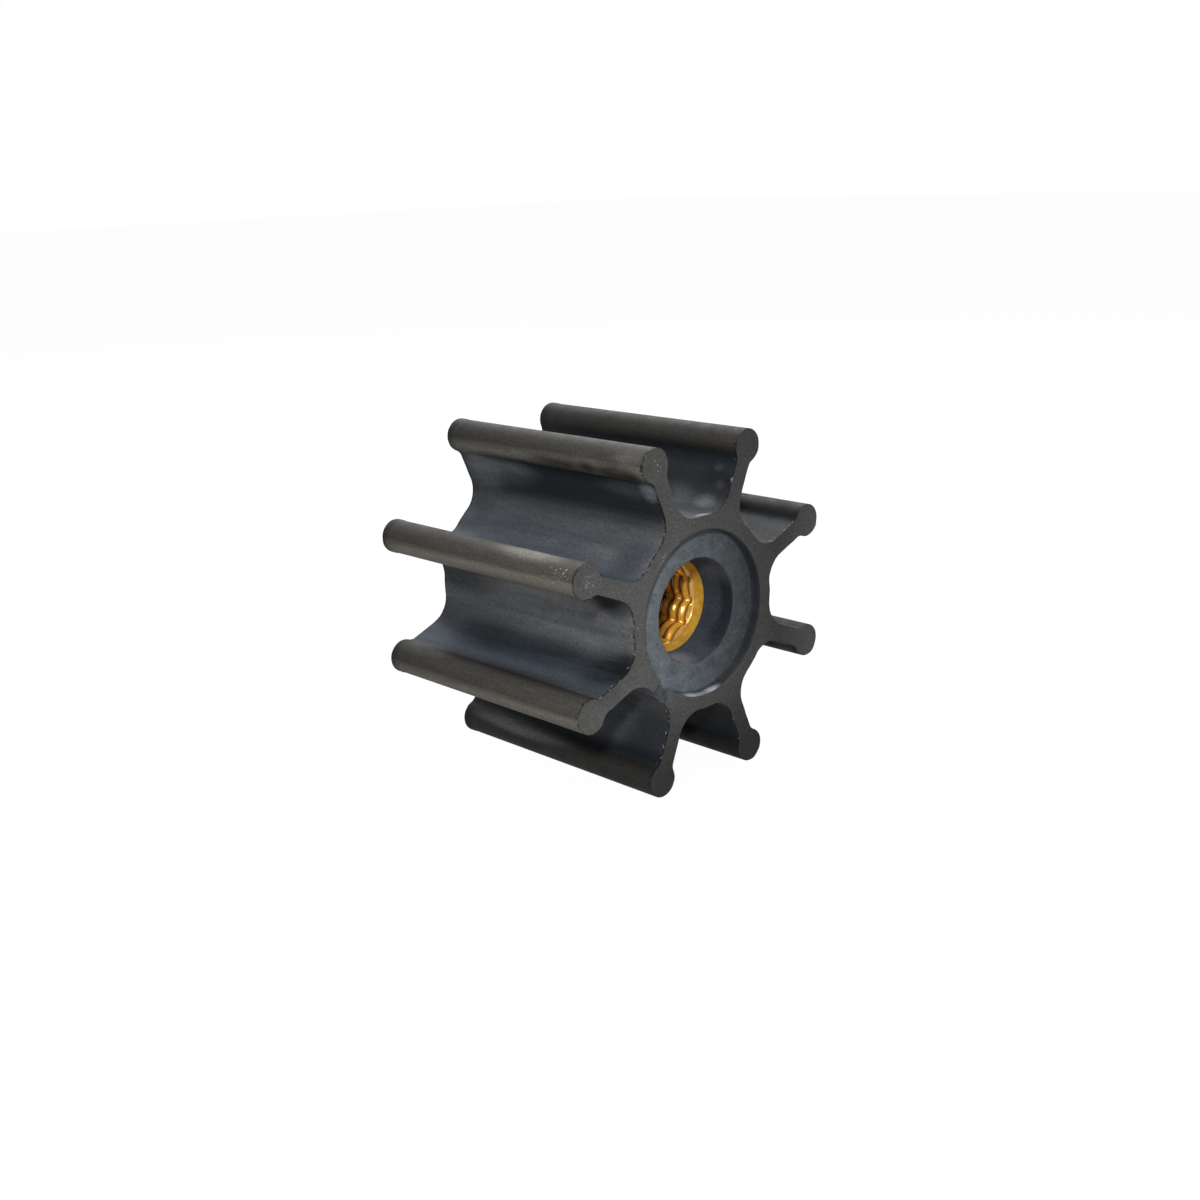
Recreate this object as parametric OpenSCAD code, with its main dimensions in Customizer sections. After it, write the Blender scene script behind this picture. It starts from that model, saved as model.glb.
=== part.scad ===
// Flexible pump impeller: one moulded rubber rotor with straight blades,
// bonded round a splined bronze insert. The shaft axis runs along Y, the
// recessed face that shows the nick looks towards -Y, and +Z is up.

/* [Rotor] */
// Diameter over the blade tips
tip_d = 65; // [60:0.5:72]
// Width of the rotor along the shaft
rotor_w = 50; // [40:1:60]
// Number of blades
blade_count = 8; // [6:1:9]

/* [Blades] */
// Thickness of a blade's web
web_t = 3.1; // [2.5:0.1:4]
// Diameter of the round bead along a blade's tip
bead_d = 5.9; // [5.3:0.1:7]
// Radius of the fillet between the web and the bead
bead_fillet_r = 2; // [1:0.25:3]
// Radius of the fillet between the web and the hub
root_fillet_r = 5; // [3:0.25:5.5]

/* [Hub] */
// Diameter of the hub between the blades
hub_d = 34.1; // [32:0.1:37]
// Diameter of the recess in each end face
recess_d = 28.8; // [26:0.2:30]
// Depth of the recess
recess_depth = 2; // [1:0.25:3]
// Radius of the recess's outer lip
recess_lip_r = 0.4; // [0.2:0.1:0.6]
// Radius of the corner round the recess floor
recess_corner_r = 0.5; // [0.2:0.1:0.8]
// Radius of the rim where the bore leaves the recess floor
bore_rim_r = 0.3; // [0.1:0.1:0.6]

/* [Nick] */
// Direction of the nick through the recess's lip, seen on the face
nick_angle = -133.5; // [-137:0.5:-131]
// Width of the nick where it leaves the recess
nick_inner_w = 2.6; // [1:0.2:4]
// Width of the nick where it meets the gap between two blades
nick_outer_w = 3.8; // [2:0.2:4.5]
// Depth of the nick below the face
nick_depth = 0.8; // [0.4:0.1:1.6]

/* [Insert] */
// Depth from the end face to the insert
insert_setback = 8; // [6.5:0.5:10]
// Width across the insert's flats
insert_flats_w = 22.4; // [21.6:0.2:24]
// Diameter over the insert's turned corners
insert_corner_d = 24; // [24:0.2:25]
// Width of a grip groove round the outside of the insert
grip_groove_w = 3; // [2:0.5:4]
// Depth of a grip groove below the flats
grip_groove_depth = 0.8; // [0.4:0.1:1]
// Distance between the two grip grooves
grip_groove_gap = 16; // [12:1:20]

/* [Shaft bore] */
// Diameter of the rubber's bore where it leaves the recess floor
mouth_d = 18.5; // [17.8:0.1:19.4]
// Length of the straight part of the rubber's bore, before it tapers to the insert
mouth_len = 2.8; // [2:0.1:3.6]
// Diameter of the plain bore in each end of the insert
bore_d = 16.6; // [16.2:0.1:17.2]
// Length of the plain bore in each end of the insert
plain_bore_len = 2; // [1:0.2:3]
// Length of the tapered lead into the spline
lead_in_len = 1; // [0.4:0.1:1.5]
// Number of lobes in the spline
lobe_count = 12; // [10:1:14]
// Diameter across the valleys between lobes
spline_major_d = 16; // [15.4:0.1:16.6]
// Diameter inside the tips of the lobes
spline_minor_d = 14.4; // [13.8:0.1:14.8]
// Width of the flat bottom of a valley
valley_w = 0.4; // [0.2:0.05:0.6]
// Direction of one valley, seen on the face
valley_angle = 19.5; // [0:0.5:30]

/* [Hidden] */
$fn = 96;
// Overrun that carries a cut clear past a surface
past = 1;
rubber_color = "#3b3c3f";
bronze_color = "#c99a3c";

half_w = rotor_w / 2;
blade_step = 360 / blade_count;
// The middle of the lowest gap is straight down, so that two blades carry it
first_blade = -90 + blade_step / 2;

hub_r = hub_d / 2;
bead_r = bead_d / 2;
bead_at = tip_d / 2 - bead_r;

// Each fillet's centre, from the two faces that it touches
bead_fillet_y = web_t / 2 + bead_fillet_r;
bead_fillet_x = bead_at - sqrt(pow(bead_r + bead_fillet_r, 2) - pow(bead_fillet_y, 2));
root_fillet_y = web_t / 2 + root_fillet_r;
root_fillet_x = sqrt(pow(hub_r + root_fillet_r, 2) - pow(root_fillet_y, 2));

recess_r = recess_d / 2;
mouth_r = mouth_d / 2;
bore_r = bore_d / 2;

insert_len = rotor_w - 2 * insert_setback;
insert_half = insert_len / 2;
grip_groove_r = insert_flats_w / 2 - grip_groove_depth;

lobe_step = 360 / lobe_count;
major_r = spline_major_d / 2;
minor_r = spline_minor_d / 2;
valley_half_angle = asin(valley_w / 2 / major_r);
// A lobe is a round bar along the bore: it touches the minor circle and runs
// into the major circle beside a valley
lobe_edge_angle = lobe_step / 2 - valley_half_angle;
lobe_at = (pow(major_r, 2) - pow(minor_r, 2)) / (2 * (major_r * cos(lobe_edge_angle) - minor_r));
lobe_r = lobe_at - minor_r;

// Turns work drawn along Z so that it lies along the shaft axis, and draws the
// face seen in the photograph's direction with X to the right and Y up
module along_shaft() {
    rotate([90, 0, 0]) children();
}

// Puts its children at the end drawn up and, mirrored, at the other end
module at_both_ends() {
    for (flip = [0, 1]) mirror([0, 0, flip]) children();
}

// Half of a blade, on one side of its centre line
module half_blade() {
    square([bead_at, web_t / 2]);
    difference() {
        polygon([[0, 0], [root_fillet_x, 0], [root_fillet_x, root_fillet_y]]);
        translate([root_fillet_x, root_fillet_y]) circle(r = root_fillet_r);
    }
    difference() {
        polygon([[bead_fillet_x, 0], [bead_at, 0], [bead_fillet_x, bead_fillet_y]]);
        translate([bead_fillet_x, bead_fillet_y]) circle(r = bead_fillet_r);
    }
}

// One straight blade with its bead and fillets, pointing along X
module blade() {
    half_blade();
    mirror([0, 1]) half_blade();
    translate([bead_at, 0]) circle(r = bead_r);
}

// Outline of the whole rotor
module rotor_outline() {
    circle(r = hub_r);
    for (i = [0 : blade_count - 1]) rotate(first_blade + i * blade_step) blade();
}

// Half section of the recess, with a rounded lip and floor corner
module recess_section() {
    floor_z = half_w - recess_depth;
    difference() {
        union() {
            translate([0, floor_z]) square([recess_r, recess_depth + past]);
            translate([0, half_w - recess_lip_r])
                square([recess_r + recess_lip_r, recess_lip_r + past]);
        }
        translate([recess_r + recess_lip_r, half_w - recess_lip_r]) circle(r = recess_lip_r);
        difference() {
            translate([recess_r - recess_corner_r, floor_z - past])
                square([recess_corner_r + past, recess_corner_r + past]);
            translate([recess_r - recess_corner_r, floor_z + recess_corner_r])
                circle(r = recess_corner_r);
            translate([0, floor_z + recess_corner_r]) square([recess_r + 2 * past, past]);
        }
    }
}

// Half section of the rubber's bore: a rounded rim on the recess floor, a
// straight mouth, and a taper down to the insert's plain bore
module mouth_section() {
    floor_z = half_w - recess_depth;
    polygon([
        [0, insert_half - past], [bore_r, insert_half - past], [bore_r, insert_half],
        [mouth_r, floor_z - mouth_len], [mouth_r, floor_z + past], [0, floor_z + past]
    ]);
    difference() {
        translate([0, floor_z - bore_rim_r]) square([mouth_r + bore_rim_r, bore_rim_r + past]);
        translate([mouth_r + bore_rim_r, floor_z - bore_rim_r]) circle(r = bore_rim_r);
    }
}

// The shallow nick that runs from the recess out through the lip
module nick() {
    inner_x = recess_r - recess_corner_r - past;
    outer_x = hub_r + past;
    rotate(nick_angle) translate([0, 0, half_w - nick_depth]) linear_extrude(nick_depth + past)
        polygon([
            [inner_x, -nick_inner_w / 2], [outer_x, -nick_outer_w / 2],
            [outer_x, nick_outer_w / 2], [inner_x, nick_inner_w / 2]
        ]);
}

// The insert's outside: a hexagonal bar with turned corners and two grooves
// that the rubber grips
module insert_blank() {
    difference() {
        intersection() {
            cylinder(h = insert_len, d = insert_corner_d, center = true);
            cylinder(h = insert_len + 2 * past, d = insert_flats_w / cos(30), center = true, $fn = 6);
        }
        at_both_ends() translate([0, 0, grip_groove_gap / 2 - grip_groove_w / 2])
            difference() {
                cylinder(h = grip_groove_w, r = insert_corner_d / 2 + past);
                translate([0, 0, -past]) cylinder(h = grip_groove_w + 2 * past, r = grip_groove_r);
            }
    }
}

// Outline of the spline: valleys on the major circle, with a lobe between each two
module spline_outline() {
    difference() {
        circle(r = major_r);
        for (i = [0 : lobe_count - 1])
            rotate(valley_angle + (i + 0.5) * lobe_step) translate([lobe_at, 0]) circle(r = lobe_r);
    }
}

// The plain bore and tapered lead at one end of the insert
module insert_mouth() {
    lead_z = insert_half - plain_bore_len - lead_in_len;
    translate([0, 0, lead_z]) cylinder(h = lead_in_len, r1 = minor_r, r2 = bore_r);
    translate([0, 0, lead_z + lead_in_len]) cylinder(h = plain_bore_len + past, r = bore_r);
}

module rubber_rotor() {
    color(rubber_color) along_shaft() difference() {
        linear_extrude(rotor_w, center = true) rotor_outline();
        at_both_ends() rotate_extrude() {
            recess_section();
            mouth_section();
        }
        insert_blank();
        nick();
    }
}

module bronze_insert() {
    color(bronze_color) along_shaft() difference() {
        insert_blank();
        linear_extrude(insert_len, center = true) spline_outline();
        at_both_ends() insert_mouth();
    }
}

rubber_rotor();
bronze_insert();
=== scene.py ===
"""A flexible pump impeller: one moulded nitrile rubber rotor round a splined bronze insert.

The shaft axis runs along Y, the recessed face with the nick looks towards -Y, and +Z is up.
Angles on a face are counted from +X towards +Z, as that face is seen. Every size is in metres, but
in millimetres where its name ends in _mm and in a Fade.
"""

import logging
import math
from contextlib import contextmanager
from dataclasses import dataclass, replace
from enum import Enum
from typing import Any, Callable, Iterator

import bmesh
import bpy
from bpy.types import Material, Node, NodeSocket, NodeTree, Object, World
from mathutils import Matrix, Vector, noise


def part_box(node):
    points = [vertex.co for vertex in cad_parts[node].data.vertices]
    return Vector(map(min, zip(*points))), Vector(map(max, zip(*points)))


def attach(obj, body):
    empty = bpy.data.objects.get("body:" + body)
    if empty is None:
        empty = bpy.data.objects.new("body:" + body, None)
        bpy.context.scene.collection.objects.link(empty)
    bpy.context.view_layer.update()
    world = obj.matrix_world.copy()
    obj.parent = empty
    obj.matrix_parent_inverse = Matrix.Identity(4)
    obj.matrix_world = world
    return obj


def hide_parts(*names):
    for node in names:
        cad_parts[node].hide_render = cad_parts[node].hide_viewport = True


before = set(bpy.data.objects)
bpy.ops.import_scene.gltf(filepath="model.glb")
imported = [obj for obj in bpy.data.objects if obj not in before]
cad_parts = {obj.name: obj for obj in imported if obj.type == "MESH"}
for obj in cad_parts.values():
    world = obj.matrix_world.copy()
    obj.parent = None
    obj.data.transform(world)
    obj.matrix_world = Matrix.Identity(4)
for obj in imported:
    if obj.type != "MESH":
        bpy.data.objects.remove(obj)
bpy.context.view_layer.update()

MM = 0.001
LOG = logging.getLogger("impeller")
SHAFT = (0.0, 1.0, 0.0)
SMOOTH_ANGLE = math.radians(35)
WELD = 0.002 * MM
# How near to the recess's lip a vertex counts as on it, which radii count as the same, and from
# where on a face's normal along the shaft makes it an end face
BY_THE_LIP = 0.01 * MM
SAME_RADIUS = 1e-9
SQUARE_ON = 0.9


class End(Enum):
    """The two ends of the rotor, by the sign of their Y."""

    NEAR = -1
    FAR = 1


class Socket(Enum):
    """The shader sockets that a finish sets or links."""

    COLOUR = "Base Color"
    METALLIC = "Metallic"
    ROUGHNESS = "Roughness"
    SPECULAR = "Specular IOR Level"
    IOR = "IOR"
    COAT = "Coat Weight"
    COAT_ROUGHNESS = "Coat Roughness"
    NORMAL = "Normal"


def on_face(angle: float, radius: float, y: float) -> Vector:
    """Gives the point at an angle and radius round the shaft.

    Args:
        angle: Direction from the shaft in degrees, from +X towards +Z.
        radius: Distance from the shaft axis.
        y: Place along the shaft.

    Returns:
        The point in the row frame.
    """
    turn = math.radians(angle)
    return Vector((radius * math.cos(turn), y, radius * math.sin(turn)))


def from_shaft(point: Vector) -> float:
    """Gives a point's distance from the shaft axis."""
    return math.hypot(point.x, point.z)


def linear(hex_colour: str) -> tuple[float, float, float, float]:
    """Turns an sRGB hex colour, such as "#c8963c", into the linear colour that shaders take."""
    parts = [int(hex_colour[i : i + 2], 16) / 255 for i in (1, 3, 5)]
    lin = [p / 12.92 if p <= 0.04045 else ((p + 0.055) / 1.055) ** 2.4 for p in parts]
    return (lin[0], lin[1], lin[2], 1.0)


def add_node(tree: NodeTree, kind: str, inputs: dict[Any, Any] | None = None, **settings: Any) -> Node:
    """Adds one node with its settings and its links.

    Args:
        tree: The node tree that gets the node.
        kind: The node's type, without the word ShaderNode.
        inputs: For each socket, by name or number, a value, or the node or socket that feeds it.
        **settings: The node's own settings, such as operation="MULTIPLY".

    Returns:
        The new node.
    """
    node = tree.nodes.new("ShaderNode" + kind)
    for name, value in settings.items():
        setattr(node, name, value)
    for socket, value in (inputs or {}).items():
        if isinstance(value, Node):
            tree.links.new(value.outputs[0], node.inputs[socket])
        elif isinstance(value, NodeSocket):
            tree.links.new(value, node.inputs[socket])
        else:
            node.inputs[socket].default_value = value
    return node


def set_ramp(node: Node, stops: list[tuple[float, str]]) -> Node:
    """Sets a colour ramp's stops.

    Args:
        node: The ramp node.
        stops: Place from 0 to 1 and sRGB hex colour of each stop, in order.

    Returns:
        The same node.
    """
    ramp = node.color_ramp
    while len(ramp.elements) < len(stops):
        ramp.elements.new(1.0)
    for element, (place, colour) in zip(ramp.elements, stops):
        element.position = place
        element.color = linear(colour)
    return node


def empty_tree(owner: Material | World) -> NodeTree:
    """Gives a material or world a node tree with nothing in it."""
    owner.use_nodes = True
    owner.node_tree.nodes.clear()
    return owner.node_tree


def make_active(piece: Object) -> None:
    """Selects one piece alone and makes it the active one."""
    bpy.ops.object.select_all(action="DESELECT")
    piece.select_set(True)
    bpy.context.view_layer.objects.active = piece


def take_added(name: str) -> Object:
    """Names the primitive that was added last and applies its placing to its mesh."""
    piece = bpy.context.object
    piece.name = name
    bpy.ops.object.transform_apply(location=True, rotation=True, scale=True)
    return piece


@contextmanager
def editing(piece: Object) -> Iterator[None]:
    """Opens one piece in edit mode, set to select vertices, and closes it again."""
    make_active(piece)
    bpy.ops.object.mode_set(mode="EDIT")
    bpy.ops.mesh.select_mode(type="VERT")
    yield
    bpy.ops.object.mode_set(mode="OBJECT")


def choose_points(piece: Object, wanted: Callable[[Vector], bool]) -> None:
    """Selects, in edit mode, the vertices that a test picks, and the edges and faces they fill."""
    bpy.ops.mesh.select_mode(type="VERT")
    bpy.ops.mesh.select_all(action="DESELECT")
    shape = bmesh.from_edit_mesh(piece.data)
    for point in shape.verts:
        point.select = wanted(point.co)
    shape.select_flush_mode()
    bmesh.update_edit_mesh(piece.data)


def choose_faces(piece: Object, wanted: Callable[[Any], bool]) -> None:
    """Selects, in edit mode, the faces that a test picks."""
    bpy.ops.mesh.select_mode(type="FACE")
    bpy.ops.mesh.select_all(action="DESELECT")
    shape = bmesh.from_edit_mesh(piece.data)
    for face in shape.faces:
        face.select = wanted(face)
    shape.select_flush_mode()
    bmesh.update_edit_mesh(piece.data)


def apply_modifier(piece: Object, kind: str, **settings: Any) -> None:
    """Adds a modifier to a piece and applies it.

    Args:
        piece: The piece, which has its own mesh.
        kind: The modifier's type, such as BOOLEAN.
        **settings: The modifier's settings.
    """
    make_active(piece)
    modifier = piece.modifiers.new(kind.title(), kind)
    for name, value in settings.items():
        setattr(modifier, name, value)
    bpy.ops.object.modifier_apply(modifier=modifier.name)


def cut_away(piece: Object, tool: Object) -> None:
    """Cuts a tool's shape out of a piece, and throws the tool away."""
    apply_modifier(piece, "BOOLEAN", operation="DIFFERENCE", solver="EXACT", object=tool)
    bpy.data.objects.remove(tool)
    weld_and_face_out(piece)


def join(into: Object, other: Object) -> None:
    """Joins a second piece's mesh into the first."""
    make_active(into)
    other.select_set(True)
    bpy.ops.object.join()


def weld_and_face_out(piece: Object) -> None:
    """Merges a piece's doubled vertices and turns its faces outward."""
    with editing(piece):
        bpy.ops.mesh.select_all(action="SELECT")
        bpy.ops.mesh.remove_doubles(threshold=WELD)
        bpy.ops.mesh.normals_make_consistent(inside=False)


def smooth(piece: Object) -> None:
    """Shades a piece smooth, but for edges sharper than the smooth angle."""
    make_active(piece)
    bpy.ops.object.shade_smooth_by_angle(angle=SMOOTH_ANGLE)


def start_vertex(name: str, place: Vector) -> Object:
    """Starts a piece as one vertex, from which an outline is swept.

    Args:
        name: The piece's name.
        place: Where the vertex stands.

    Returns:
        The piece, with its object at the origin.
    """
    bpy.ops.object.select_all(action="DESELECT")
    bpy.ops.mesh.primitive_plane_add(size=MM, location=(0, 0, 0))
    piece = bpy.context.object
    piece.name = name
    with editing(piece):
        bpy.ops.mesh.select_all(action="SELECT")
        bpy.ops.mesh.merge(type="CENTER")
        bpy.ops.transform.translate(value=place)
    return piece


def start_ring(name: str, radius: float, y: float, points: int) -> Object:
    """Starts a piece as one ring round the shaft.

    Args:
        name: The piece's name.
        radius: The ring's radius.
        y: Its place along the shaft.
        points: Its number of vertices.

    Returns:
        The piece, with its object at the origin.
    """
    bpy.ops.object.select_all(action="DESELECT")
    bpy.ops.mesh.primitive_circle_add(vertices=points, radius=radius, location=(0, y, 0),
                                      rotation=(math.pi / 2, 0, 0))
    return take_added(name)


def turn_profile(piece: Object, profile: list[tuple[float, float]]) -> None:
    """Draws a ring on through a turned profile, one extrusion for each of its points.

    Args:
        piece: The piece, open in edit mode with its last ring selected.
        profile: Radius and place along the shaft of each point, with the first where the ring is.
    """
    for (r0, y0), (r1, y1) in zip(profile, profile[1:]):
        bpy.ops.mesh.extrude_region_move(TRANSFORM_OT_translate={"value": (0, y1 - y0, 0)})
        if abs(r1 - r0) > SAME_RADIUS:
            bpy.ops.transform.resize(value=(r1 / r0, 1, r1 / r0), center_override=(0, y1, 0))


def arc_points(centre: tuple[float, float], radius: float, start: float, end: float,
               steps: int) -> list[tuple[float, float]]:
    """Gives the points of an arc in a profile, with both its ends."""
    turns = [math.radians(start + (end - start) * i / steps) for i in range(steps + 1)]
    return [(centre[0] + radius * math.cos(t), centre[1] + radius * math.sin(t)) for t in turns]


@dataclass
class BronzeInsert:
    """The metal sleeve in the hub: a hexagonal bar, turned, bored and broached with lobes.

    Args:
        half_length: Half its length along the shaft.
    """

    half_length: float
    flats_w: float = 22.4 * MM
    corner_r: float = 12.0 * MM
    grip_groove_r: float = 10.4 * MM
    grip_groove_w: float = 3.0 * MM
    grip_groove_gap: float = 16.0 * MM
    bore_r: float = 8.3 * MM
    plain_bore_len: float = 2.0 * MM
    lead_in_len: float = 1.0 * MM
    lobe_count: int = 12
    major_r: float = 8.0 * MM
    minor_r: float = 7.2 * MM
    valley_w: float = 0.4 * MM
    valley_angle: float = 19.5
    wave_count: int = 13
    first_groove: float = 13.7 * MM
    groove_depth: float = 0.58 * MM
    steps_per_wave: int = 10
    lead_steps: int = 5
    points_per_lobe: int = 20
    ring_points: int = 144
    overrun: float = 1.0 * MM

    def blank(self, name: str) -> Object:
        """Makes the hexagonal bar with its turned corners and its two grip grooves.

        Args:
            name: The blank's name.

        Returns:
            The closed blank, without its bore.
        """
        bpy.ops.object.select_all(action="DESELECT")
        corner_r = self.flats_w / 2 / math.cos(math.pi / 6)
        bpy.ops.mesh.primitive_cylinder_add(vertices=6, radius=corner_r, depth=2 * self.half_length,
                                            rotation=(math.pi / 2, math.pi / 6, 0))
        bar = take_added(name)
        bpy.ops.mesh.primitive_cylinder_add(vertices=self.ring_points, radius=self.corner_r,
                                            depth=2 * self.half_length + 2 * self.overrun,
                                            rotation=(math.pi / 2, 0, 0))
        turned = take_added("turned_corners_tool")
        apply_modifier(bar, "BOOLEAN", operation="INTERSECT", solver="EXACT", object=turned)
        bpy.data.objects.remove(turned)
        weld_and_face_out(bar)
        for end in End:
            middle = end.value * self.grip_groove_gap / 2
            half_w = self.grip_groove_w / 2
            wide = self.corner_r + self.overrun
            band = start_ring("grip_groove_tool", wide, middle - half_w, self.ring_points)
            with editing(band):
                bpy.ops.mesh.select_all(action="SELECT")
                turn_profile(band, [(wide, middle - half_w), (wide, middle + half_w),
                                    (self.grip_groove_r, middle + half_w),
                                    (self.grip_groove_r, middle - half_w), (wide, middle - half_w)])
            weld_and_face_out(band)
            cut_away(bar, band)
        return bar

    def lobe_radius(self, angle: float) -> float:
        """Gives the bore's radius in the spline, at an angle in radians."""
        step = math.tau / self.lobe_count
        valley_half = math.asin(self.valley_w / 2 / self.major_r)
        edge = step / 2 - valley_half
        lobe_at = (self.major_r**2 - self.minor_r**2) / (2 * (self.major_r * math.cos(edge) - self.minor_r))
        lobe_r = lobe_at - self.minor_r
        off = (angle - math.radians(self.valley_angle) + step) % step - step / 2
        if abs(off) >= edge:
            return self.major_r
        return lobe_at * math.cos(off) - math.sqrt(lobe_r**2 - (lobe_at * math.sin(off)) ** 2)

    def lead_radius(self, y: float) -> float:
        """Gives the radius of the plain bore and the soft taper that leads into the spline."""
        lead_out = self.half_length - self.plain_bore_len
        share = min(max((abs(y) - (lead_out - self.lead_in_len)) / self.lead_in_len, 0.0), 1.0)
        return self.minor_r + (self.bore_r - self.minor_r) * share**2 * (3 - 2 * share)

    def relief(self, y: float) -> float:
        """Gives how deep the round grooves, turned across the lobes, are at a place along the shaft."""
        pitch = 2 * self.first_groove / self.wave_count
        if abs(y) > self.first_groove + pitch / 2:
            return 0.0
        return self.groove_depth * (1 + math.cos(math.tau * (y - self.first_groove) / pitch)) / 2

    def stations(self) -> list[float]:
        """Lists the places of the bore tool's rings, none of them in an end plane of the insert."""
        lead_out = self.half_length - self.plain_bore_len
        steps = self.wave_count * self.steps_per_wave
        waves = [self.first_groove * (2 * i / steps - 1) for i in range(steps + 1)]
        leads = [end.value * (lead_out - self.lead_in_len * i / self.lead_steps)
                 for end in End for i in range(self.lead_steps + 1)]
        ends = [end.value * (self.half_length + self.overrun) for end in End]
        return sorted(waves + leads + ends)

    def bore_tool(self) -> Object:
        """Makes the closed shape of the whole bore: broached lobes, turned grooves and mouths."""
        stations = self.stations()
        points = self.lobe_count * self.points_per_lobe
        tool = start_ring("bore_tool", self.bore_r, stations[0], points)
        with editing(tool):
            bpy.ops.mesh.select_all(action="SELECT")
            bpy.ops.transform.rotate(value=math.radians(self.valley_angle), orient_axis="Y",
                                     center_override=(0, 0, 0))
            turn_profile(tool, [(self.bore_r, y) for y in stations])
        for point in tool.data.vertices:
            angle = math.atan2(point.co.z, point.co.x)
            splined = self.lobe_radius(angle) + self.relief(point.co.y)
            inside = abs(point.co.y) < self.half_length - self.plain_bore_len
            radius = max(splined, self.lead_radius(point.co.y)) if inside else self.bore_r
            point.co = on_face(math.degrees(angle), radius, point.co.y)
        with editing(tool):
            for end_y in (stations[0], stations[-1]):
                choose_points(tool, lambda co: abs(co.y - end_y) < WELD)
                bpy.ops.mesh.edge_face_add()
        weld_and_face_out(tool)
        return tool

    def build(self) -> Object:
        """Makes the finished insert."""
        insert = self.blank("splined_bronze_insert")
        cut_away(insert, self.bore_tool())
        weld_and_face_out(insert)
        smooth(insert)
        return insert


@dataclass
class MouldedRotor:
    """The rubber rotor: hub, blades with round beads, and recessed end faces, in one moulding.

    Args:
        half_width: Half its width along the shaft.
        insert: The insert that it is moulded round.
    """

    half_width: float
    insert: BronzeInsert
    tip_r: float = 32.5 * MM
    blade_count: int = 8
    web_t: float = 3.1 * MM
    bead_r: float = 2.95 * MM
    bead_fillet_r: float = 2.0 * MM
    root_fillet_r: float = 5.0 * MM
    hub_r: float = 17.05 * MM
    recess_r: float = 14.4 * MM
    recess_depth: float = 2.0 * MM
    recess_lip_r: float = 0.4 * MM
    recess_corner_r: float = 0.5 * MM
    mouth_r: float = 9.25 * MM
    mouth_len: float = 2.8 * MM
    bore_rim_r: float = 0.3 * MM
    nick_angle: float = -133.5
    nick_inner_w: float = 2.6 * MM
    nick_outer_w: float = 3.8 * MM
    nick_depth: float = 0.8 * MM
    flash_h: float = 0.12 * MM
    flash_w: float = 0.12 * MM
    far_lip_len: float = 1.5 * MM
    far_lip_h: float = 0.08 * MM
    station_gap: float = 1.2 * MM
    ring_points: int = 192
    gap_steps: int = 4
    root_steps: int = 11
    web_steps: int = 4
    neck_steps: int = 6
    bead_steps: int = 16
    arc_steps: int = 4
    floor_steps: int = 5
    close_stations: tuple[float, ...] = (0.3 * MM, 0.7 * MM, 1.2 * MM)
    even_from: float = 2.2 * MM
    taper_run: float = 0.5 * MM
    flash_tear: float = 1.6 * MM
    flash_coarseness: float = 0.9
    flash_lacunarity: float = 2.1
    flash_octaves: int = 4
    flash_kept: float = 0.35
    flash_swing: float = 0.75
    lip_band: float = 0.3 * MM
    nick_cuts: int = 9
    nick_tear: float = 0.9 * MM
    nick_torn_across_mm: float = 0.12
    nick_torn_deep_mm: float = 0.06

    @property
    def blade_step(self) -> float:
        """Angle between two blades in degrees."""
        return 360 / self.blade_count

    @property
    def face_y(self) -> float:
        """Distance from the rotor's middle to the moulded face, behind the flash."""
        return self.half_width - self.flash_h

    def half_blade(self) -> Object:
        """Sweeps one side of a blade, from the middle of the gap beside it to its tip."""
        bead_x = self.tip_r - self.bead_r
        side = self.web_t / 2
        root_y = side + self.root_fillet_r
        root_x = math.sqrt((self.hub_r + self.root_fillet_r) ** 2 - root_y**2)
        neck_y = side + self.bead_fillet_r
        neck_x = bead_x - math.sqrt((self.bead_r + self.bead_fillet_r) ** 2 - neck_y**2)
        root_turn = math.degrees(math.atan2(root_y, root_x))
        neck_turn = math.degrees(math.atan2(neck_y, bead_x - neck_x))
        y = -self.half_width
        piece = start_vertex("rubber_rotor_moulding", on_face(self.blade_step / 2, self.hub_r, y))
        with editing(piece):
            bpy.ops.mesh.select_all(action="SELECT")
            bpy.ops.mesh.spin(steps=self.gap_steps, center=(0, y, 0), axis=SHAFT,
                              angle=math.radians(root_turn - self.blade_step / 2))
            bpy.ops.mesh.spin(steps=self.root_steps, angle=math.radians(90 - root_turn),
                              center=(root_x, y, root_y), axis=SHAFT)
            for _ in range(self.web_steps):
                bpy.ops.mesh.extrude_region_move(
                    TRANSFORM_OT_translate={"value": ((neck_x - root_x) / self.web_steps, 0, 0)})
            bpy.ops.mesh.spin(steps=self.neck_steps, angle=math.radians(90 - neck_turn),
                              center=(neck_x, y, neck_y), axis=SHAFT)
            bpy.ops.mesh.spin(steps=self.bead_steps, angle=-math.radians(180 - neck_turn),
                              center=(bead_x, y, 0), axis=SHAFT)
        return piece

    def outline(self) -> Object:
        """Mirrors the half blade and repeats it round the shaft, as one closed outline."""
        piece = self.half_blade()
        first_blade = -90 + self.blade_step / 2
        with editing(piece):
            bpy.ops.mesh.select_all(action="SELECT")
            bpy.ops.mesh.duplicate()
            bpy.ops.transform.resize(value=(1, 1, -1), center_override=(0, 0, 0))
            bpy.ops.mesh.select_all(action="SELECT")
            bpy.ops.transform.rotate(value=math.radians(first_blade), orient_axis="Y",
                                     center_override=(0, 0, 0))
            bpy.ops.mesh.spin(steps=self.blade_count, dupli=True, angle=math.tau,
                              center=(0, -self.half_width, 0), axis=SHAFT)
            bpy.ops.mesh.select_all(action="SELECT")
            bpy.ops.mesh.remove_doubles(threshold=WELD)
        return piece

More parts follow.
